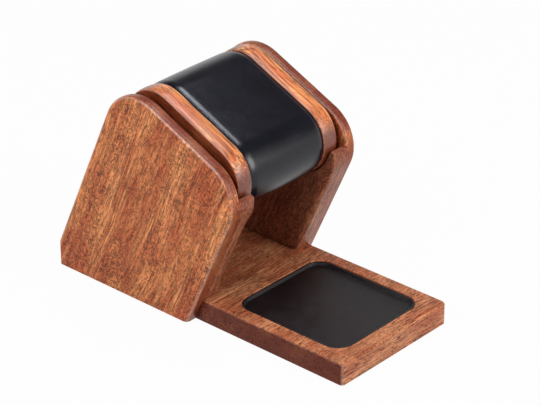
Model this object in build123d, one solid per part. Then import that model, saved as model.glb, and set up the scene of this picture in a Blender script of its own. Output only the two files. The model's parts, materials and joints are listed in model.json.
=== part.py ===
from build123d import *
import os
from math import cos, radians, sin, sqrt, tan

# Desk stand for one wristwatch. Two leaning cheeks carry a padded drum that lifts out, and the base
# board reaches forward from under them as a leather-lined tray.
# Frame: X across, -Y towards the tray, +Z up, origin at table level under the middle. Millimetres.

# Cheeks: each is an outer side panel and an inner cradle, glued face to face
overall_width = 90.0
lean = 24.3
front_edge = 91.0
front_corner = 21.0
back_corner = 23.5
cut_height = 12.8
cut_corner = 4.0
panel_thickness = 6.5
panel_round = 2.3
panel_top_round = 2.2
cradle_thickness = 9.7
cradle_round = 1.0
front_lip_drop = 10.8
back_lip_drop = 17.0
front_lip = 3.0
back_lip = 2.81
lip_corner = 1.45
foot_corner = 1.6

# Base board and its tray
board_thickness = 12.1
board_housing = 0.6
board_back_inset = 2.0
board_corner = 2.6
board_round = 1.6
board_ease = 0.5
tray_length = 67.2
tray_front_rim = 8.6
tray_back_rim = 18.7
tray_side_rim = 8.1
tray_corner = 9.0
tray_drop = 1.9
tray_edge = 0.4
lining_thickness = 1.3
lining_bevel = 0.8

# Drum: stadium section, its long axis along the cheeks' slope
drum_length = 76.4
drum_thickness = 37.6
drum_rise = 2.1
cradle_clearance = 0.7
end_clearance = 2.9
cap_thickness = 9.5
cap_crown = 0.4
cap_outer_round = 1.2
cap_inner_ease = 0.4
sleeve_step = 0.8
sleeve_thickness = 1.3
sleeve_shoulder = 7.0
sleeve_swell = 1.0
sleeve_crown = 0.25
padding_thickness = 3.2
seam_gap = 0.4
dowel_diameter = 6.0
dowel_core_depth = 9.0
dowel_wall = 1.8
dowel_end_gap = 0.5
dowel_spacing = 30.0

# Screws and felt pads under the board
screw_diameter = 3.5
screw_length = 32.0
screw_head = 7.0
screw_head_depth = 2.6
screw_point = 4.0
screw_sink = 0.6
screw_margin = 26.0
recess_length = 4.2
recess_width = 1.0
recess_depth = 1.4
pad_diameter = 10.0
pad_recess = 1.0
pad_proud = 0.2
pad_margin = 3.0

# A rounding takes up to this share of its wall
round_share = 0.45

# Across the stand, from the outside in
panel_inner_x = overall_width / 2 - panel_thickness
board_side_x = panel_inner_x + board_housing
cradle_inner_x = panel_inner_x - cradle_thickness
cap_outer_x = panel_inner_x - end_clearance
cap_inner_x = cap_outer_x - cap_thickness


def corner_loss(radius, drop):
    """What a cheek's round corner takes off its depth, at this distance below the top slope."""
    corner_left = max(radius - drop, 0)
    return radius - sqrt(radius**2 - corner_left**2)


# Along the slope: the lips stand beside the drum, where the cheeks' round corners are still narrowing
drum_inset = corner_loss(front_corner, front_lip_drop) + front_lip + cradle_clearance
back_inset = corner_loss(back_corner, back_lip_drop) + back_lip + cradle_clearance
cheek_depth = drum_inset + drum_length + back_inset

# Side view, from the tray's front to the cheeks' back
lean_sin = sin(radians(lean))
lean_cos = cos(radians(lean))
lean_tan = tan(radians(lean))
tray_reach = tray_front_rim + tray_length + tray_back_rim
overall_length = tray_reach + cheek_depth / lean_cos - cut_height * lean_tan
board_front_y = -overall_length / 2
cheek_back_y = overall_length / 2
board_back_y = cheek_back_y - board_back_inset
board_top_z = pad_proud + board_thickness
cut_top_z = pad_proud + cut_height
foot_y = board_front_y + tray_reach
corner_y = foot_y - front_edge * lean_sin
corner_z = pad_proud + front_edge * lean_cos
back_corner_y = corner_y + cheek_depth * lean_cos
back_corner_z = corner_z + cheek_depth * lean_sin

# Side sketches hold (Y, Z). The slope's own axes run back along it and square out of it.
slope = Pos(corner_y, corner_z) * Rot(0, 0, lean)
drum_place = slope * Pos(drum_inset + drum_length / 2, drum_rise - drum_thickness / 2)
drum_frame = Pos(0, drum_place.position.X, drum_place.position.Y) * Rot(lean, 0, 0)


def within(radius, *walls):
    """A rounding's radius, kept within its narrowest wall."""
    return min(radius, round_share * min(walls))


def across(section, near_x, far_x):
    """A side sketch given thickness from near_x to far_x."""
    return extrude(Plane.YZ.offset(near_x) * section, far_x - near_x)


def upright(diameter, height):
    """A cylinder that stands on its place."""
    return Cylinder(diameter / 2, height, align=(Align.CENTER, Align.CENTER, Align.MIN))


def mirrored(solid):
    """The left-hand copy of a right-hand piece."""
    return mirror(solid, about=Plane.YZ)


def stadium(inset):
    """The drum's outline, drawn in by inset, in its place between the cheeks."""
    return drum_place * SlotOverall(drum_length - 2 * inset, drum_thickness - 2 * inset)


def corner_at(section, y, z):
    """The vertex of a side sketch that lies nearest to a place."""
    return section.vertices().sort_by_distance((y, z, 0))[0]


def cheek_outline():
    """A leaning rectangle, level underneath, its back foot cut upright and its top corners round."""
    outline = make_face(
        Polyline(
            (foot_y, pad_proud),
            (corner_y, corner_z),
            (back_corner_y, back_corner_z),
            (cheek_back_y, cut_top_z),
            (cheek_back_y, pad_proud),
            close=True,
        )
    )
    outline = fillet(corner_at(outline, corner_y, corner_z), front_corner)
    outline = fillet(corner_at(outline, back_corner_y, back_corner_z), back_corner)
    return fillet(corner_at(outline, cheek_back_y, cut_top_z), cut_corner)


def above_lips():
    """The part of a cheek's side view that stands out past the lips of its cradle."""
    reach = front_edge + cheek_depth
    front = Pos(0, reach / 2 - front_lip_drop) * Rectangle(cheek_depth, reach)
    back = Pos(cheek_depth, reach / 2 - back_lip_drop) * Rectangle(cheek_depth, reach)
    return slope * (front + back)


def off_table(face):
    """A cheek face's edges apart from the one that stands on the table."""
    return face.edges().filter_by(lambda edge: edge.center().Z > pad_proud + 0.01)


def side_panel():
    """Outer layer of the right cheek, rounded outside, and inside only where it stands past the lips. A
    shallow housing along its foot takes the board's edge."""
    panel = across(cheek_outline(), panel_inner_x, overall_width / 2)
    outer_round = within(panel_round, panel_thickness, 2 * cut_corner)
    inner_round = within(panel_top_round, panel_thickness, 2 * cut_corner)
    panel = fillet(off_table(panel.faces().sort_by(Axis.X)[-1]), outer_round)
    eased = fillet(off_table(panel.faces().sort_by(Axis.X)[0]), inner_round)
    top = across(above_lips(), panel_inner_x, overall_width / 2)
    housing_length = board_back_y - board_front_y
    housing = Pos((board_front_y + board_back_y) / 2, board_top_z / 2) * Rectangle(housing_length, board_top_z)
    return (panel - top) + (eased & top) - across(housing, panel_inner_x, board_side_x)


def is_lip_top(vertex):
    """Whether a side sketch's vertex lies at the height of a lip's top."""
    drop = (vertex.X - corner_y) * lean_sin - (vertex.Y - corner_z) * lean_cos
    return min(abs(drop - front_lip_drop), abs(drop - back_lip_drop)) < 0.01


def cradle():
    """Inner layer of the right cheek, cut off at the lips, with the drum's seat open at the top."""
    reach = front_edge + cheek_depth
    under_board_top = Pos(0, board_top_z - reach / 2) * Rectangle(2 * overall_length, reach)
    way_out = drum_place * Pos(0, reach / 2) * Rectangle(drum_length + 2 * cradle_clearance, reach)
    section = cheek_outline() - above_lips() - under_board_top - stadium(-cradle_clearance) - way_out
    lip_radius = within(lip_corner, front_lip, back_lip)
    section = fillet(section.vertices().filter_by(is_lip_top), lip_radius)
    section = fillet(corner_at(section, foot_y - board_thickness * lean_tan, board_top_z), foot_corner)
    panel = across(section, cradle_inner_x, panel_inner_x)
    edge_round = within(cradle_round, cradle_thickness, 2 * lip_radius, 2 * foot_corner)
    return fillet(panel.faces().sort_by(Axis.X)[0].edges(), edge_round) - screw_holes()


def screw_places():
    """Two screws under the middle of each cradle, one near each end of its foot."""
    screw_x = (cradle_inner_x + panel_inner_x) / 2
    front_y = foot_y + screw_margin
    back_y = cheek_back_y - screw_margin
    return [Pos(x, y, pad_proud + screw_sink) for x in (-screw_x, screw_x) for y in (front_y, back_y)]


def screw_body():
    """Countersunk wood screw, head down at the origin and point up."""
    shank = screw_diameter / 2
    profile = Polyline(
        (0, 0),
        (screw_head / 2, 0),
        (shank, screw_head_depth),
        (shank, screw_length - screw_point),
        (0, screw_length),
        close=True,
    )
    return revolve(Plane.XZ * make_face(profile), Axis.Z)


def screw_holes():
    """Room for the screws: their bodies, opened to the underside below the heads."""
    sink = Pos(0, 0, -screw_sink) * upright(screw_head, screw_sink)
    return [place * (screw_body() + sink) for place in screw_places()]


def base_screws():
    """The four screws, each with a cross recess in its head."""
    blade = Box(recess_length, recess_width, 2 * recess_depth)
    screw = screw_body() - blade - Rot(0, 0, 90) * blade
    return Compound([place * screw for place in screw_places()])


def felt_pads():
    """The four pads that the stand rests on, one in each corner of the board's underside."""
    inset = pad_margin + pad_diameter / 2
    pad_x = board_side_x - inset
    pad = upright(pad_diameter, pad_recess + pad_proud)
    rows = (board_front_y + inset, board_back_y - inset)
    return Compound([Pos(x, y, 0) * pad for x in (-pad_x, pad_x) for y in rows])


def tray_outline(inset):
    """The recess's outline in its place on the board, drawn in by inset."""
    width = 2 * (board_side_x - tray_side_rim)
    middle_y = board_front_y + tray_front_rim + tray_length / 2
    outline = RectangleRounded(width - 2 * inset, tray_length - 2 * inset, tray_corner - inset)
    return Pos(0, middle_y) * outline


def base_board():
    """Board under both cheeks, with the tray's recess on top, and screws and pads let in underneath."""
    board_length = board_back_y - board_front_y
    outline = Pos(0, -board_back_inset / 2) * Rectangle(2 * board_side_x, board_length)
    outline = fillet(outline.vertices().group_by(Axis.Y)[0], board_corner)
    board = Pos(0, 0, pad_proud) * extrude(outline, board_thickness)
    top_round = within(board_round, board_thickness, 2 * board_corner)
    board = fillet(board.faces().sort_by(Axis.Z)[-1].edges(), top_round)
    board = chamfer(board.faces().sort_by(Axis.Z)[0].edges(), board_ease)
    pocket_depth = tray_drop + lining_thickness
    board -= Pos(0, 0, board_top_z - pocket_depth) * extrude(tray_outline(0), pocket_depth)
    rim = board.faces().sort_by(Axis.Z)[-1].inner_wires()[0].edges()
    board = chamfer(rim, within(tray_edge, tray_drop))
    return board - felt_pads() - screw_holes()


def tray_lining():
    """Leather dish: a floor with a turned-up edge, the corner between them bevelled."""
    floor_z = board_top_z - tray_drop
    wall_height = tray_drop - within(tray_edge, tray_drop)
    dish = Pos(0, 0, floor_z - lining_thickness) * extrude(tray_outline(0), lining_thickness + wall_height)
    hollow = Pos(0, 0, floor_z) * extrude(tray_outline(lining_thickness), tray_drop)
    bevel = within(lining_bevel, 2 * wall_height)
    return dish - chamfer(hollow.faces().sort_by(Axis.Z)[0].edges(), bevel)


def dowel_rods(end_gap):
    """The two dowels between the core and the right cap, or with a gap at both ends, their holes."""
    near_x = cap_inner_x - dowel_core_depth - end_gap
    far_x = cap_outer_x - dowel_wall - dowel_end_gap + end_gap
    places = [drum_place * Pos(along, 0) for along in (-dowel_spacing / 2, dowel_spacing / 2)]
    return [across(place * Circle(dowel_diameter / 2), near_x, far_x) for place in places]


def cap_dowels():
    """The four dowels between the caps and the core."""
    rods = dowel_rods(0)
    return Compound(rods + [mirrored(rod) for rod in rods])


def wrapped(profile):
    """A cross profile, with X across the drum and its height from the drum's middle, carried right round."""
    half_straight = (drum_length - drum_thickness) / 2
    layer = Plane.XZ * profile
    straight = extrude(layer, half_straight, both=True)
    bend = Pos(0, -half_straight, 0) * revolve(layer, Axis.X, 180)
    ring = straight + bend + Rot(180, 0, 0) * straight + Rot(180, 0, 0) * bend
    return drum_frame * ring


def end_cap():
    """Right end of the drum: a thick stadium with a crowned rim, and two blind dowel holes inside."""
    rim = drum_thickness / 2
    middle_x = (cap_inner_x + cap_outer_x) / 2
    crown = ThreePointArc((cap_inner_x, rim), (middle_x, rim + cap_crown), (cap_outer_x, rim))
    sides = Polyline((cap_outer_x, rim), (cap_outer_x, 0), (cap_inner_x, 0), (cap_inner_x, rim))
    profile = make_face(crown + sides)
    profile = fillet(corner_at(profile, cap_outer_x, rim), within(cap_outer_round, cap_thickness))
    profile = chamfer(corner_at(profile, cap_inner_x, rim), within(cap_inner_ease, cap_thickness))
    return wrapped(profile) - dowel_rods(dowel_end_gap)


def drum_core():
    """Wooden core between the caps, with dowel holes in both ends."""
    core_inset = sleeve_step + sleeve_thickness + padding_thickness
    core = across(stadium(core_inset), -cap_inner_x, cap_inner_x)
    holes = dowel_rods(dowel_end_gap)
    return core - holes - [mirrored(hole) for hole in holes]


def cushion_line(inset):
    """Across the drum from cap to cap at one depth: a gentle crown, with shoulders that fall to the caps."""
    edge = drum_thickness / 2 - sleeve_step - inset
    top = edge + sleeve_swell
    shoulder_x = cap_inner_x - within(sleeve_shoulder, 2 * cap_inner_x)
    crown = ThreePointArc((-shoulder_x, top), (0, top + sleeve_crown), (shoulder_x, top))
    right = TangentArc(crown @ 1, (cap_inner_x, edge), tangent=crown % 1)
    left = TangentArc(crown @ 0, (-cap_inner_x, edge), tangent=-(crown % 0))
    return left + crown + right


def drum_padding():
    """Foam round the core, fuller in the middle than beside the caps."""
    edge = drum_thickness / 2 - sleeve_step - sleeve_thickness
    base = edge - padding_thickness
    sides = Polyline((cap_inner_x, edge), (cap_inner_x, base), (-cap_inner_x, base), (-cap_inner_x, edge))
    return wrapped(make_face(cushion_line(sleeve_thickness) + sides))


def leather_sleeve():
    """Leather round the padding, drawn down beside the caps, with its butt seam underneath."""
    outer = drum_thickness / 2 - sleeve_step
    inner = outer - sleeve_thickness
    ends = [Line((x, outer), (x, inner)) for x in (-cap_inner_x, cap_inner_x)]
    sleeve = wrapped(make_face(cushion_line(0) + cushion_line(sleeve_thickness) + ends))
    seam = Pos(0, 0, -drum_thickness / 4) * Box(2 * cap_inner_x, seam_gap, drum_thickness / 2)
    return sleeve - drum_frame * seam


pieces = {
    "base_board": base_board(),
    "tray_lining": tray_lining(),
    "base_screws": base_screws(),
    "felt_pads": felt_pads(),
    "left_side_panel": mirrored(side_panel()),
    "right_side_panel": side_panel(),
    "left_cradle": mirrored(cradle()),
    "right_cradle": cradle(),
    "left_end_cap": mirrored(end_cap()),
    "right_end_cap": end_cap(),
    "cap_dowels": cap_dowels(),
    "drum_core": drum_core(),
    "drum_padding": drum_padding(),
    "leather_sleeve": leather_sleeve(),
}

os.makedirs("parts", exist_ok=True)
for node, piece in pieces.items():
    export_step(piece, f"parts/{node}.step")
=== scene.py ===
import bpy
import json
import numpy as np
from math import atan2, cos, pi, radians, sin, sqrt
from mathutils import Matrix, Vector


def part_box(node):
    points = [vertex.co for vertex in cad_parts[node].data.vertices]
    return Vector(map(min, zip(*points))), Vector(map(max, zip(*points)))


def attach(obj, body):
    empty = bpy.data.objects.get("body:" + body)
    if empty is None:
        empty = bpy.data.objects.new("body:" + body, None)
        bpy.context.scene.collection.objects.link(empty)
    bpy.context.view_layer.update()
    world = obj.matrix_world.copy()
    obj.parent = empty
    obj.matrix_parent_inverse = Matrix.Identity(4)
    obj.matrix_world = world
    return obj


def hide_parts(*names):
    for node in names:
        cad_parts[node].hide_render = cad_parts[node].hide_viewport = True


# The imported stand. Everything below is in its frame, in metres: X across, -Y towards the tray, Z up.
# The drum lifts square out of the cheeks' slope, so its slide gives the lean of the whole upper part.
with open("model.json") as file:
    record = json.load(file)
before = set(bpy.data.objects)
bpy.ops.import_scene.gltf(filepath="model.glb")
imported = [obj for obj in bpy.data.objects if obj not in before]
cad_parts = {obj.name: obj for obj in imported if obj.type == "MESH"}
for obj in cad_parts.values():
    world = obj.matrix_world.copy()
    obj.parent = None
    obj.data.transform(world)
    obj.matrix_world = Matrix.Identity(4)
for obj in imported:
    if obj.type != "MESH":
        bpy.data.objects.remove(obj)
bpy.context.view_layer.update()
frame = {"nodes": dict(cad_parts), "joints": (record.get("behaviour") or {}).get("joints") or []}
nodes = frame["nodes"]
lift_axis = Vector(frame["joints"][0]["axis"])
lean = atan2(-lift_axis.y, lift_axis.z)

# Base board: one plank of ribbon-figured red hardwood, planed, rounded over and oiled to a satin.
# Its grain runs across the stand, so the front shows long grain and the sides show end grain.


def paint(red, green, blue):
    """A colour as seen on a screen, 0 to 255, turned into the linear values that shaders take."""
    seen = np.array([red, green, blue]) / 255
    linear = np.where(seen <= 0.04045, seen / 12.92, ((seen + 0.055) / 1.055) ** 2.4)
    return (*linear.tolist(), 1.0)


def feed(tree, node, inputs):
    """Fills a node's inputs. Each is a plain value, or a socket of another node to be linked."""
    for key, value in inputs.items():
        if isinstance(value, bpy.types.NodeSocket):
            tree.links.new(value, node.inputs[key])
        else:
            node.inputs[key].default_value = value


def add(tree, kind, inputs=None, **options):
    """One shader node, with its options and its inputs."""
    node = tree.nodes.new(kind)
    for name, value in options.items():
        setattr(node, name, value)
    feed(tree, node, inputs or {})
    return node


def surface(name):
    """A new material, with its tree of nodes and its shader."""
    material = bpy.data.materials.new(name)
    material.use_nodes = True
    return material, material.node_tree, material.node_tree.nodes["Principled BSDF"]


def reckon(tree, operation, first, second=0.0, third=0.0):
    """One sum on up to three values. MULTIPLY_ADD is first times second, plus third."""
    return add(tree, "ShaderNodeMath", {0: first, 1: second, 2: third}, operation=operation).outputs[0]


def times(tree, first, *others):
    """The product of several values."""
    for other in others:
        first = reckon(tree, "MULTIPLY", first, other)
    return first


def shift(tree, operation, first, second):
    """One sum on two places."""
    return add(tree, "ShaderNodeVectorMath", {0: first, 1: second}, operation=operation).outputs[0]


def cloud(tree, place, waves, detail=2.0, distortion=0.0):
    """Cloudy noise from 0 to 1, as a value and as a colour. waves gives its waves per unit along each
    axis, so fewer along the fibres than across them draws it out into streaks."""
    spread = shift(tree, "MULTIPLY", place, waves)
    made = add(tree, "ShaderNodeTexNoise", {"Vector": spread, "Scale": 1.0, "Detail": detail,
                                            "Roughness": 0.6, "Distortion": distortion})
    return made.outputs["Fac"], made.outputs["Color"]


def step(tree, value, low, high, to_low=0.0, to_high=1.0):
    """A soft step: to_low under low, to_high over high, and a smooth slope between."""
    ends = {"Value": value, "From Min": low, "From Max": high, "To Min": to_low, "To Max": to_high}
    return add(tree, "ShaderNodeMapRange", ends, interpolation_type="SMOOTHSTEP").outputs["Result"]


def blend(tree, share, first, second, way="MIX"):
    """Two colours mixed, or multiplied, by a share."""
    colours = {0: share, 6: first, 7: second}
    return add(tree, "ShaderNodeMix", colours, data_type="RGBA", blend_type=way).outputs[2]


def build_wood():
    """Ribbon-figured hardwood. Grain is a place in millimetres, its X along the fibres, bent by a slow drift.
    Light ribbons gather in bands over a body that goes from golden to red in patches. The body has straight
    fine lines, or, where it is curly, winding ripples: the sine of a cloud, like a map's contours. Pores are
    short dark dashes, and flecks lie in clusters where another cloud is near its middle. End faces, and faces
    that take the same tone as a painted shade, lose the ribbons, ripples and flecks."""
    tree = bpy.data.node_groups.new("ribbon_hardwood", "ShaderNodeTree")
    face = tree.interface
    face.new_socket("Grain", in_out="INPUT", socket_type="NodeSocketVector")
    for name in ("Light", "Golden", "Red", "Pore", "End Grain And Shade Tone"):
        face.new_socket(name, in_out="INPUT", socket_type="NodeSocketColor")
    for name in ("End", "Ribbon", "Lines", "Curl", "Pores", "Flecks"):
        face.new_socket(name, in_out="INPUT", socket_type="NodeSocketFloat")
    face.new_socket("Color", in_out="OUTPUT", socket_type="NodeSocketColor")
    face.new_socket("Roughness", in_out="OUTPUT", socket_type="NodeSocketFloat")
    face.new_socket("Height", in_out="OUTPUT", socket_type="NodeSocketFloat")
    given = tree.nodes.new("NodeGroupInput").outputs

    drift_waves = (0.014, 0.02, 0.02)
    drift_reach = (0.0, 7.0, 7.0)
    cloud_middle = 0.5
    drift = cloud(tree, given["Grain"], drift_waves, detail=1.0)[1]
    drift = shift(tree, "SUBTRACT", drift, (cloud_middle, cloud_middle, cloud_middle))
    place = shift(tree, "ADD", given["Grain"], shift(tree, "MULTIPLY", drift, drift_reach))

    def streaks(along, across, at=place, **kind):
        """A cloud with these waves per millimetre along and across the fibres."""
        return cloud(tree, at, (along, across, across), **kind)[0]

    another_place = shift(tree, "ADD", place, (37.0, 11.0, 53.0))
    curly = step(tree, streaks(along=0.016, across=0.085), low=0.36, high=0.54)
    redder = step(tree, streaks(along=0.03, across=0.075, at=another_place), low=0.34, high=0.60)

    def by_curl(straight, curled):
        """A value that goes from one number in straight wood to another in curly wood."""
        return reckon(tree, "MULTIPLY_ADD", curly, curled - straight, straight)

    along_grain = reckon(tree, "SUBTRACT", 1.0, given["End"])
    ribbon = step(tree, streaks(along=0.010, across=0.42), low=0.44, high=0.58)
    ribbon = times(tree, ribbon, by_curl(straight=1.0, curled=0.25), given["Ribbon"], along_grain)

    lines = step(tree, streaks(along=0.06, across=1.1), low=0.36, high=0.64, to_low=-1.0)
    straight_lines = times(tree, lines, by_curl(straight=1.0, curled=0.4))

    contours = 30.0
    winding = times(tree, streaks(along=0.22, across=0.33, distortion=0.6), contours)
    ripple = step(tree, reckon(tree, "SINE", winding), low=-0.4, high=0.6, to_low=0.5, to_high=-1.0)
    ripple_patch = step(tree, streaks(along=0.03, across=0.06), low=0.38, high=0.62, to_low=0.75, to_high=1.1)
    ripple = times(tree, ripple, ripple_patch, by_curl(straight=0.4, curled=1.0), along_grain)
    fine = reckon(tree, "MULTIPLY_ADD", ripple, given["Curl"], 1.0)
    fine = reckon(tree, "MULTIPLY_ADD", straight_lines, given["Lines"], fine)

    wander = streaks(along=0.36, across=0.60, detail=1.0, distortion=1.5)
    off_middle = reckon(tree, "ABSOLUTE", reckon(tree, "SUBTRACT", wander, cloud_middle))
    fleck = step(tree, off_middle, low=0.01, high=0.06, to_low=1.0, to_high=0.0)
    cluster = step(tree, streaks(along=0.08, across=0.13), low=0.46, high=0.62)
    fleck = times(tree, fleck, cluster, given["Flecks"], along_grain)
    pore = step(tree, streaks(along=0.22, across=1.5, detail=1.0), low=0.56, high=0.66)
    hollow = reckon(tree, "MAXIMUM", fleck, times(tree, pore, given["Pores"]))

    body = blend(tree, redder, given["Golden"], given["Red"])
    body = blend(tree, ribbon, body, given["Light"])
    body = blend(tree, 1.0, body, fine, "MULTIPLY")
    body = blend(tree, hollow, body, given["Pore"])
    body = blend(tree, given["End"], body, blend(tree, 1.0, body, given["End Grain And Shade Tone"], "MULTIPLY"))
    satin, hollow_dull = 0.29, 0.45
    line_height = 0.2
    feed(tree, tree.nodes.new("NodeGroupOutput"), {
        "Color": body,
        "Roughness": step(tree, hollow, low=0.0, high=1.0, to_low=satin, to_high=hollow_dull),
        "Height": reckon(tree, "SUBTRACT", times(tree, lines, line_height), hollow),
    })
    return tree


wood_group = build_wood()


def wood(name, ends, turn, light, golden, red, end_grain_and_shade_tone, lines, curl, pores, ribbon=0.8, flecks=0.7,
         rubbed=0.0, polish=0.0, level_edges=1.0):
    """Oiled wood for one piece. turn lays its grain along the group's X. ends are the ways that its end grain,
    and faces with a painted shade, look, which take the end grain and shade tone: a way that is longer takes
    more of it. rubbed is the gloss of the rounded edges, which look partly across, level_edges is the share of
    it on edges that look up or down, and polish is the gloss of the faces that look up, down, forwards and
    back."""
    material, tree, shader = surface(name)
    millimetres = (1e3, 1e3, 1e3)
    where = add(tree, "ShaderNodeTexCoord").outputs
    turned = add(tree, "ShaderNodeMapping", {"Vector": where["Object"], "Rotation": turn})
    # end is the share of end grain and, on the panels' front edges, of painted shade.
    end = 0.0
    for way in ends:
        facing = add(tree, "ShaderNodeVectorMath", {0: where["Normal"], 1: way}, operation="DOT_PRODUCT")
        facing = reckon(tree, "ABSOLUTE", facing.outputs["Value"])
        end = reckon(tree, "MAXIMUM", step(tree, facing, low=0.55, high=0.95), end)
    figure = add(tree, "ShaderNodeGroup", {
        "Grain": shift(tree, "MULTIPLY", turned.outputs["Vector"], millimetres), "End": end,
        "Light": light, "Golden": golden, "Red": red, "Pore": paint(88, 36, 20), "End Grain And Shade Tone": end_grain_and_shade_tone,
        "Ribbon": ribbon, "Lines": lines, "Curl": curl, "Pores": pores, "Flecks": flecks,
    }, node_tree=wood_group)
    relief = add(tree, "ShaderNodeBump", {"Height": figure.outputs["Height"], "Strength": 0.25,
                                          "Distance": 1e-4})
    feed(tree, shader, {
        "Base Color": figure.outputs["Color"], "Roughness": figure.outputs["Roughness"],
        "Normal": relief.outputs["Normal"], "IOR": 1.25, "Coat IOR": 1.8, "Coat Roughness": 0.38,
    })
    if rubbed or polish:
        looks = add(tree, "ShaderNodeSeparateXYZ", {0: where["Normal"]}).outputs
        sideways = reckon(tree, "ABSOLUTE", looks["X"])
        upwards = reckon(tree, "ABSOLUTE", looks["Z"])
        edge_gloss = step(tree, sideways, low=0.3, high=0.6, to_low=polish, to_high=rubbed)
        off_the_side = step(tree, sideways, low=0.8, high=0.97, to_low=1.0, to_high=0.0)
        level_gloss = step(tree, upwards, low=0.3, high=0.6, to_low=1.0, to_high=level_edges)
        feed(tree, shader, {"Coat Weight": times(tree, edge_gloss, off_the_side, level_gloss)})
    return material


across_stand = (1, 0, 0)
board_wood = wood("board_wood", ends=[across_stand], turn=(0, 0, 0), light=paint(204, 148, 107),
                  golden=paint(187, 123, 86), red=paint(165, 92, 62), end_grain_and_shade_tone=paint(150, 118, 108),
                  lines=0.46, curl=0.2, pores=0.85, ribbon=0.5, rubbed=1.0, level_edges=0.0)
nodes["base_board"].material_slots[0].material = board_wood

# Tray lining: one piece of smooth black leather, pressed into the board's recess and glued down.
# Its edge turns up the recess's wall, with a soft cove where the floor begins.
lining_low, lining_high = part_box("tray_lining")
lining_middle = (lining_low + lining_high) / 2
lining_half = (lining_high - lining_low) / 2
lining_wall = 0.0013
lining_cove = 0.0006
recess_corner = 0.0090
outer_lip = 0.0002
inner_lip = 0.0003
under_inset = 0.012
floor_insets = (0.0032, 0.0045, 0.006, 0.0075)
floor_drop = lining_high.z - lining_low.z - lining_wall
floor_height = lining_high.z - floor_drop


def rounded_outline(inset, per_corner=14, per_side=18):
    """Points round the recess, drawn in by inset: four quarter circles joined by straight sides."""
    corner = recess_corner - inset
    reach = np.array([lining_half.x - recess_corner, lining_half.y - recess_corner])
    signs = np.array([[1, 1], [-1, 1], [-1, -1], [1, -1]])
    turn = np.linspace(0, pi / 2, per_corner)
    arcs = [signs[k] * reach + corner * np.stack([np.cos(turn + k * pi / 2), np.sin(turn + k * pi / 2)], 1)
            for k in range(4)]
    share = np.linspace(0, 1, per_side + 1)[1:-1, None]
    sides = [arcs[k][-1] * (1 - share) + arcs[(k + 1) % 4][0] * share for k in range(4)]
    return np.concatenate([part for k in range(4) for part in (arcs[k], sides[k])])


def ring_mesh(name, rings, ends="fan"):
    """A skin over rings of points, all of one count: neighbouring rings are joined by four-sided faces. The
    rows end in a fan round a middle point, in one flat face, or, where closed, in the first row again."""
    rows, count = rings.shape[:2]
    index = np.arange(rows * count).reshape(rows, count)
    last = rows if ends == "closed" else rows - 1
    below = index[:last]
    above = np.roll(index, -1, 0)[:last]
    faces = np.stack([below, np.roll(below, -1, 1), np.roll(above, -1, 1), above], -1).reshape(-1, 4).tolist()
    points = rings.reshape(-1, 3)
    if ends == "flat":
        faces += [index[0, ::-1].tolist(), index[-1].tolist()]
    if ends == "fan":
        points = np.concatenate([points, rings[:1].mean(1), rings[-1:].mean(1)])
        first, final = rows * count, rows * count + 1
        faces += np.stack([np.roll(index[0], -1), index[0], np.full(count, first)], -1).tolist()
        faces += np.stack([index[-1], np.roll(index[-1], -1), np.full(count, final)], -1).tolist()
    mesh = bpy.data.meshes.new(name)
    mesh.from_pydata(points.tolist(), [], faces)
    mesh.shade_smooth()
    piece = bpy.data.objects.new(name, mesh)
    bpy.context.scene.collection.objects.link(piece)
    return piece


def leather(name, tone, roughness, pebble, depth, uneven=0.02):
    """Dyed leather: fine pebbles a fraction of a millimetre across and depth deep, with slow changes of tone
    and polish, and painted shade in the creases between the pebbles. uneven is how far the polish changes."""
    material, tree, shader = surface(name)
    wear_waves = (90.0, 90.0, 90.0)
    where = add(tree, "ShaderNodeTexCoord").outputs["Object"]
    cells = add(tree, "ShaderNodeTexVoronoi", {"Vector": where, "Scale": 1 / pebble, "Randomness": 1.0},
                feature="DISTANCE_TO_EDGE")
    creases = step(tree, cells.outputs["Distance"], low=0.0, high=0.35)
    wear = cloud(tree, where, wear_waves, detail=3.0)[0]
    worn = step(tree, wear, low=0.3, high=0.7, to_low=roughness - uneven, to_high=roughness + uneven)
    # Painted shade and light: the creases are darkened to half and the pebbles' tops lightened a little,
    # beside the leather's slow changes of tone.
    crease_shade_and_tone = times(tree, step(tree, wear, low=0.3, high=0.7, to_low=0.8, to_high=1.25),
                  step(tree, creases, low=0.0, high=1.0, to_low=0.5, to_high=1.2))
    relief = add(tree, "ShaderNodeBump", {"Height": creases, "Strength": 0.35, "Distance": depth})
    feed(tree, shader, {"Base Color": blend(tree, 1.0, tone, crease_shade_and_tone, "MULTIPLY"), "Roughness": worn,
                        "Normal": relief.outputs["Normal"], "IOR": 1.42})
    return material


bend = np.linspace(0, pi / 2, 7)
cove_inset = lining_wall + lining_cove * (1 - np.cos(bend))
cove_height = floor_height + lining_cove * (1 - np.sin(bend))
lining_rows = [
    (under_inset, lining_low.z), (0.0, lining_low.z),
    (0.0, lining_high.z - outer_lip), (outer_lip, lining_high.z),
    (lining_wall - inner_lip, lining_high.z), (lining_wall, lining_high.z - inner_lip),
    *zip(cove_inset, cove_height),
    *((inset, floor_height) for inset in floor_insets),
]
lining_rings = np.stack([np.insert(rounded_outline(inset), 2, height, axis=1)
                         for inset, height in lining_rows])
lining_rings[:, :, :2] += np.array([lining_middle.x, lining_middle.y])
lining = ring_mesh("tray_leather_lining", lining_rings)
lining.data.materials.append(leather("tray_leather", paint(26, 17, 20), roughness=0.44, pebble=0.00045,
                                     depth=5e-5, uneven=0.04))
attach(lining, "stand")
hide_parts("tray_lining")

# Side panels: the thin outer layer of each cheek, cut with the grain standing along the lean.
# The outer edges are rounded over, and the top edge is end grain, which the oil turns darker.
upright = (0.0, -sin(lean), cos(lean))
along_lean = (-lean, pi / 2, 0.0)
forward = Vector((0.0, cos(lean), sin(lean)))
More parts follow.
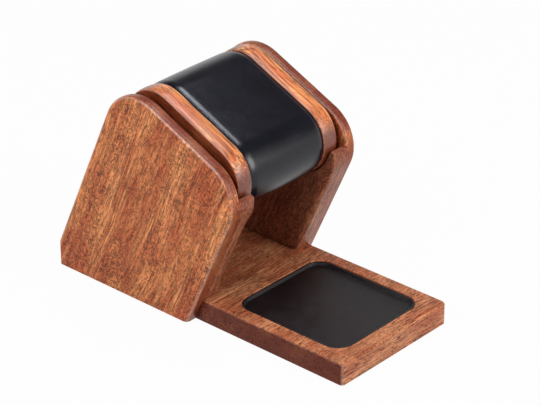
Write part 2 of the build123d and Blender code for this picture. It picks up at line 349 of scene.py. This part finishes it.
# Painted shade: the front edges lean forward and down and get less light, so they take the darker end tone
# too, though they are not end grain.
panel_front_shade = 0.8 * forward
panel_wood = wood("panel_wood", ends=[upright, panel_front_shade], turn=along_lean, light=paint(214, 146, 93),
                  golden=paint(198, 122, 73), red=paint(168, 85, 50), end_grain_and_shade_tone=paint(184, 174, 200),
                  lines=0.42, curl=0.46, pores=0.5, ribbon=0.65, rubbed=1.0, polish=0.1)
for name in ("left_side_panel", "right_side_panel"):
    nodes[name].material_slots[0].material = panel_wood

# Cradles: the thick inner layer of each cheek, glued to its panel and screwed down to the board.
# A browner plank with the same lean to its grain, cut to a seat for the drum, its long edges well rounded.
cradle_wood = wood("cradle_wood", ends=[upright], turn=along_lean, light=paint(174, 118, 86),
                   golden=paint(154, 94, 68), red=paint(136, 75, 56), end_grain_and_shade_tone=paint(230, 230, 235),
                   lines=0.36, curl=0.4, pores=0.6)
cradle_low, cradle_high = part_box("right_cradle")
sleeve_low, sleeve_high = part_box("leather_sleeve")
drum_middle = (sleeve_low + sleeve_high) / 2
seat_run = 0.0194
seat_radius = 0.0195
cheek_front = -0.04454
cheek_back = 0.04263
slope_rise = 0.0167
front_corner = 0.0210
back_corner = 0.0235
front_lip_top = 0.0059
back_lip_top = -0.0003
lip_round = 0.00126
foot_round = 0.0016
heel_round = 0.0014
edge_round = 0.0010
long_edge_round = 0.0038
lean_degrees = np.degrees(lean)


def arc_points(along, out, radius, start, end, count):
    """Part of a circle round a point of the slope's own plane, between two angles in degrees."""
    turn = np.radians(np.linspace(start, end, count))
    return np.stack([along + radius * np.cos(turn), out + radius * np.sin(turn)], 1)


def level(along, height):
    """How far out of the slope a point at this place along it is, for a height above the table."""
    return (height - drum_middle.z - along * sin(lean)) / cos(lean)


# The outline, seen from the right: up the front, over the lip, round the seat, over the low back lip, down.
front_side = (cheek_front + front_corner, slope_rise - front_corner)
back_side = (cheek_back - back_corner, slope_rise - back_corner)
lip_out = front_lip_top - lip_round
lip_along = front_side[0] - sqrt((front_corner - lip_round) ** 2 - (lip_out - front_side[1]) ** 2)
lip_angle = np.degrees(atan2(lip_out - front_side[1], lip_along - front_side[0]))
horn_out = back_lip_top - lip_round
horn_along = back_side[0] + sqrt((back_corner - lip_round) ** 2 - (horn_out - back_side[1]) ** 2)
horn_angle = np.degrees(atan2(horn_out - back_side[1], horn_along - back_side[0]))
foot = (cheek_front + foot_round, level(cheek_front + foot_round, cradle_low.z + foot_round))
heel = (cheek_back - heel_round, level(cheek_back - heel_round, cradle_low.z + heel_round))
edge_count = 24
bottom_count = 12
front_run = np.linspace(foot[1], front_side[1], edge_count + 2)[1:-1]
back_run = np.linspace(back_side[1], heel[1], edge_count + 2)[1:-1]
heel_back = drum_middle.y + heel[0] * cos(lean) - heel[1] * sin(lean)
bottom = np.linspace(heel_back, drum_middle.y, bottom_count + 1)[1:]
bottom_along = (bottom - drum_middle.y) * cos(lean) + (cradle_low.z - drum_middle.z) * sin(lean)
cradle_outline = np.concatenate([
    arc_points(*foot, foot_round, start=270 - lean_degrees, end=180, count=8),
    np.stack([np.full(edge_count, cheek_front), front_run], 1),
    arc_points(*front_side, front_corner, start=180, end=lip_angle, count=14),
    arc_points(lip_along, lip_out, lip_round, start=lip_angle - 8, end=90, count=7),
    arc_points(-seat_run - seat_radius - lip_round, lip_out, lip_round, start=90, end=0, count=9),
    arc_points(-seat_run, 0, seat_radius, start=180, end=270, count=40),
    arc_points(seat_run, 0, seat_radius, start=270, end=355, count=40),
    arc_points(seat_run + seat_radius + lip_round, horn_out, lip_round, start=180, end=90, count=9),
    arc_points(horn_along, horn_out, lip_round, start=82, end=horn_angle, count=9),
    arc_points(*back_side, back_corner, start=horn_angle - 1, end=0, count=8),
    np.stack([np.full(edge_count, cheek_back), back_run], 1),
    arc_points(*heel, heel_round, start=0, end=-90 - lean_degrees, count=9),
    np.stack([bottom_along, level(bottom_along, cradle_low.z)], 1),
])

# The long front and back edges are rounded most, and fade to the small rounding at the foot and the lips.
foot_clear, foot_fade = 0.003, 0.008
lip_clear, lip_fade = 0.004, 0.014
edge_depth = 0.001
glue_band = 5e-5
face_start = 0.0002
heading = np.roll(cradle_outline, -1, 0) - np.roll(cradle_outline, 1, 0)
heading /= np.linalg.norm(heading, axis=1, keepdims=True)
inward = np.stack([heading[:, 1], -heading[:, 0]], 1)
from_edge = np.minimum(cradle_outline[:, 0] - cheek_front, cheek_back - cradle_outline[:, 0])
above_foot = cradle_outline[:, 1] * cos(lean) + cradle_outline[:, 0] * sin(lean)
above_foot = above_foot + drum_middle.z - cradle_low.z
below_lip = front_side[1] + lip_clear - cradle_outline[:, 1]
fade = np.clip(np.minimum((above_foot - foot_clear) / foot_fade, below_lip / lip_fade), 0, 1)
fade = fade * np.clip(1 - from_edge / edge_depth, 0, 1)
rounding = edge_round + (long_edge_round - edge_round) * fade**2 * (3 - 2 * fade)
quarter = np.linspace(0, pi / 2, 9)[:, None]
one_row = np.ones((1, len(rounding)))
drawn_in = np.concatenate([
    0 * one_row,
    0 * one_row,
    rounding * (1 - np.cos(quarter)),
    (rounding + face_start) * one_row,
])
thick = np.concatenate([
    cradle_high.x * one_row,
    (cradle_high.x - glue_band) * one_row,
    cradle_low.x + rounding * (1 - np.sin(quarter)),
    cradle_low.x * one_row,
])
side_view = cradle_outline[None] + drawn_in[:, :, None] * inward[None]
cradle_rings = np.stack([
    thick,
    drum_middle.y + side_view[:, :, 0] * cos(lean) - side_view[:, :, 1] * sin(lean),
    drum_middle.z + side_view[:, :, 0] * sin(lean) + side_view[:, :, 1] * cos(lean),
], -1)
for name, rings in (("right", cradle_rings), ("left", cradle_rings[:, ::-1] * (-1, 1, 1))):
    piece = ring_mesh(f"{name}_cradle_rounded", rings, ends="flat")
    piece.data.materials.append(cradle_wood)
    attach(piece, "stand")
    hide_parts(f"{name}_cradle")

# End caps: thick rounded ends of the drum, with the grain along the slope and a polished round edge.
# They are the brightest wood on the stand, and two dowels hold each of them to the core.
cap_nose = 1.2 * forward
along_slope = (-lean, 0.0, -pi / 2)
cap_wood = wood("cap_wood", ends=[across_stand, cap_nose], turn=along_slope, light=paint(218, 148, 90),
                golden=paint(200, 117, 63), red=paint(181, 92, 48), end_grain_and_shade_tone=paint(160, 150, 170),
                lines=0.7, curl=0.0, pores=0.6, flecks=0.0, rubbed=0.9, polish=0.6)
for name in ("left_end_cap", "right_end_cap"):
    nodes[name].material_slots[0].material = cap_wood

# Core and dowels: plain pale wood that the padding and the caps hide.
# The dowels run across the stand, and the core is a block with its grain the same way.
core_wood = wood("core_wood", ends=[across_stand], turn=(0, 0, 0), light=paint(214, 186, 144),
                 golden=paint(200, 168, 124), red=paint(190, 156, 112), end_grain_and_shade_tone=paint(230, 224, 220),
                 lines=0.1, curl=0.03, pores=0.3, ribbon=0.4, flecks=0.0)
for name in ("drum_core", "cap_dowels"):
    nodes[name].material_slots[0].material = core_wood

# Drum cover: black leather stretched round foam on the core, and closed by a butt seam underneath.
# The foam lifts the leather in the middle, and the ends roll down beside the caps.


def stadium_sizes(node):
    """Half the straight run and the end radius of a leaning stadium, from the box that it fills: the box is
    twice the run's shadow plus twice the radius each way."""
    low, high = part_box(node)
    size = high - low
    run = (size.y - size.z) / 2 / (cos(lean) - sin(lean))
    return run, size.y / 2 - run * cos(lean)


half_width = (sleeve_high.x - sleeve_low.x) / 2
half_run, cover_radius = stadium_sizes("leather_sleeve")
core_radius = stadium_sizes("drum_core")[1]
crown = 0.00025
swell = 0.0010
shoulder = 0.0043
tuck_radius = 0.0006
seam_width = 0.0005
seam_depth = 0.0007
seam_crowding = 2.5
run_count = 48
arc_count = 64
width_count = 61

# Round the stadium: along the top, round the back, along the underside, where points crowd to the seam.
straight = np.sin(np.linspace(-pi / 2, pi / 2, run_count + 1)[:-1]) * half_run
seam_run = np.sign(straight) * (np.abs(straight) / half_run) ** seam_crowding * half_run
arc = np.linspace(0, pi, arc_count + 1)[:-1]
spine = np.concatenate([straight, np.full(arc_count, half_run), -seam_run, np.full(arc_count, -half_run)])
angle = np.concatenate([np.zeros(run_count), arc, np.full(run_count, pi), pi + arc])

# Across the width: a low crown, a rolled shoulder by each cap, a tight tuck at the end, and down to the core.
across = np.sin(np.linspace(-pi / 2, pi / 2, width_count))
from_end = half_width * (1 - np.abs(across))
fall = np.maximum(1 - from_end / shoulder, 0)
tucked = np.maximum(tuck_radius - from_end, 0)
tuck = tuck_radius - np.sqrt(tuck_radius**2 - tucked**2)
height = cover_radius - crown * across**2 - swell * fall**2 - tuck
profile_x = np.concatenate([across * half_width, [half_width, -half_width]])
profile_h = np.concatenate([height, [core_radius, core_radius]])
on_seam = np.where(angle == pi, np.exp(-((spine / seam_width) ** 2)), 0.0)
lift = profile_h[None, :] - seam_depth * on_seam[:, None] * (profile_h > core_radius)[None, :]
back = spine[:, None] + lift * np.sin(angle)[:, None]
out = lift * np.cos(angle)[:, None]
cover_rings = np.stack([
    np.broadcast_to(drum_middle.x + profile_x, back.shape),
    drum_middle.y + back * cos(lean) - out * sin(lean),
    drum_middle.z + back * sin(lean) + out * cos(lean),
], -1)
cover = ring_mesh("drum_leather_cover", cover_rings, ends="closed")
cover.data.materials.append(leather("drum_leather", paint(15, 15, 26), roughness=0.21, pebble=0.0006,
                                    depth=5e-5))
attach(cover, "drum")
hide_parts("leather_sleeve", "drum_padding")

# Screws: zinc-plated countersunk wood screws, driven up through the board into the cradles.
# Only their crossed heads show, under the board.
zinc_waves = (900.0, 900.0, 900.0)
steel, steel_tree, zinc = surface("screw_zinc")
zinc_place = add(steel_tree, "ShaderNodeTexCoord").outputs["Object"]
zinc_bloom = cloud(steel_tree, zinc_place, zinc_waves, detail=3.0)[0]
zinc_gloss = step(steel_tree, zinc_bloom, low=0.3, high=0.7, to_low=0.25, to_high=0.42)
feed(steel_tree, zinc, {"Base Color": paint(196, 194, 188), "Metallic": 1.0, "Roughness": zinc_gloss})
nodes["base_screws"].material_slots[0].material = steel

# Felt pads: dark wool felt discs, punched out and let into shallow pockets under the board's corners.
# Their edges are soft, and they stand a little proud of the board.
wool_waves = (4e3, 4e3, 4e3)
felt, felt_tree, wool = surface("felt")
wool_place = add(felt_tree, "ShaderNodeTexCoord").outputs["Object"]
wool_fuzz = cloud(felt_tree, wool_place, wool_waves, detail=4.0)[0]
wool_shade = step(felt_tree, wool_fuzz, low=0.3, high=0.7, to_low=0.7, to_high=1.3)
wool_tone = blend(felt_tree, 1.0, paint(44, 38, 34), wool_shade, "MULTIPLY")
feed(felt_tree, wool, {"Base Color": wool_tone, "Roughness": 0.95})
pads_low, pads_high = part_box("felt_pads")
pad_radius = 0.005
pad_count = 48
soft_low, soft_high = 0.0001, 0.0004
pad_turn = np.linspace(0, 2 * pi, pad_count + 1)[:-1]
pad_rows = [(0.6, pads_low.z), (0.92, pads_low.z), (0.98, pads_low.z + soft_low),
            (1.0, pads_low.z + soft_high), (1.0, pads_high.z), (0.6, pads_high.z)]
for side, x in (("left", pads_low.x + pad_radius), ("right", pads_high.x - pad_radius)):
    for end, y in (("front", pads_low.y + pad_radius), ("back", pads_high.y - pad_radius)):
        disc = np.stack([np.column_stack([x + pad_radius * wide * np.cos(pad_turn),
                                          y - pad_radius * wide * np.sin(pad_turn),
                                          np.full(pad_count, rise)]) for wide, rise in pad_rows])
        pad = ring_mesh(f"felt_pad_{side}_{end}", disc)
        pad.data.materials.append(felt)
        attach(pad, "stand")
        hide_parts("felt_pads")

# Studio: a white sweep, a small cool softbox overhead, and larger boxes to the left and in front.
# The floor is white to the camera and in reflections, and keeps a trace of the stand's shadow.
floor_half = 4.0
floor_white = 0.97
floor_grey = 0.55
floor_corners = floor_half * np.array([(-1, -1, 0), (1, -1, 0), (1, 1, 0), (-1, 1, 0)])
floor_mesh = bpy.data.meshes.new("floor")
floor_mesh.from_pydata(floor_corners.tolist(), [], [(0, 1, 2, 3)])
floor = bpy.data.objects.new("floor", floor_mesh)
bpy.context.scene.collection.objects.link(floor)


def ray_kinds(tree):
    """Whether a ray is the camera's own, and whether it comes off or through a shiny surface."""
    rays = add(tree, "ShaderNodeLightPath").outputs
    return rays["Is Camera Ray"], reckon(tree, "MAXIMUM", rays["Is Glossy Ray"], rays["Is Transmission Ray"])


paper, sweep, matt = surface("white_sweep")
feed(sweep, matt, {"Base Color": (floor_grey, floor_grey, floor_grey, 1.0), "Roughness": 0.9})
glow = add(sweep, "ShaderNodeEmission", {"Color": (1, 1, 1, 1), "Strength": 1.0})
own, shiny = ray_kinds(sweep)
seen = times(sweep, reckon(sweep, "MAXIMUM", own, shiny), floor_white)
mixed = add(sweep, "ShaderNodeMixShader", {0: seen, 1: matt.outputs[0], 2: glow.outputs[0]})
feed(sweep, sweep.nodes["Material Output"], {"Surface": mixed.outputs[0]})
floor_mesh.materials.append(paper)

# The room is white to the camera. In reflections only a band above the floor is, which rises at the back.
horizon_rise = 0.25
band_full, band_end = 0.10, 0.35
room = bpy.data.worlds.new("studio")
bpy.context.scene.world = room
room.use_nodes = True
air = room.node_tree
fill = air.nodes["Background"]
feed(air, fill, {"Color": (1.0, 0.99, 0.98, 1.0), "Strength": 0.18})
white = add(air, "ShaderNodeBackground", {"Color": (1, 1, 1, 1), "Strength": 1.0})
way = add(air, "ShaderNodeSeparateXYZ", {0: add(air, "ShaderNodeTexCoord").outputs["Generated"]}).outputs
horizon = times(air, reckon(air, "MAXIMUM", way["Y"], 0.0), horizon_rise)
above_horizon = reckon(air, "SUBTRACT", way["Z"], horizon)
low_band = step(air, above_horizon, low=band_full, high=band_end, to_low=1.0, to_high=0.0)
own, shiny = ray_kinds(air)
shown = reckon(air, "MAXIMUM", own, times(air, shiny, low_band))
both = add(air, "ShaderNodeMixShader", {0: shown, 1: fill.outputs[0], 2: white.outputs[0]})
feed(air, air.nodes["World Output"], {"Surface": both.outputs[0]})


def softbox(name, place, aim, size, power, tint=(1.0, 1.0, 1.0)):
    """A square soft lamp that looks at a point."""
    lamp = bpy.data.lights.new(name, "AREA")
    lamp.size = size
    lamp.energy = power
    lamp.color = tint
    stand = bpy.data.objects.new(name, lamp)
    stand.location = place
    stand.rotation_euler = (Vector(aim) - Vector(place)).to_track_quat("-Z", "Y").to_euler()
    bpy.context.scene.collection.objects.link(stand)


softbox("overhead", (0.31, 0.10, 0.98), aim=(0.0, 0.0, 0.08), size=0.25, power=3.4, tint=(0.88, 0.92, 1.0))
softbox("left", (-0.78, 0.12, 0.62), aim=(0.0, 0.0, 0.06), size=1.00, power=8.8)
softbox("front", (0.28, -0.95, 0.54), aim=(0.0, 0.0, 0.04), size=0.6, power=9.5, tint=(1.0, 0.98, 0.95))

# Camera: a long lens from the left front, above the stand.
# The lens and the place were fitted to the lines of the cheeks and the board.
eye = Vector((-0.75044, -0.68543, 0.58834))
looks_at = Vector((0.07505, 0.05533, 0.0005))
tilt = radians(-0.116)
camera = bpy.data.objects.new("camera", bpy.data.cameras.new("camera"))
camera.data.lens = 156.53
camera.data.sensor_width = 36.0
camera.location = eye
aimed = (looks_at - eye).to_track_quat("-Z", "Y").to_matrix()
camera.rotation_euler = (aimed @ Matrix.Rotation(tilt, 3, "Z")).to_euler()
bpy.context.scene.collection.objects.link(camera)
bpy.context.scene.camera = camera
bpy.context.scene.view_settings.view_transform = "Standard"
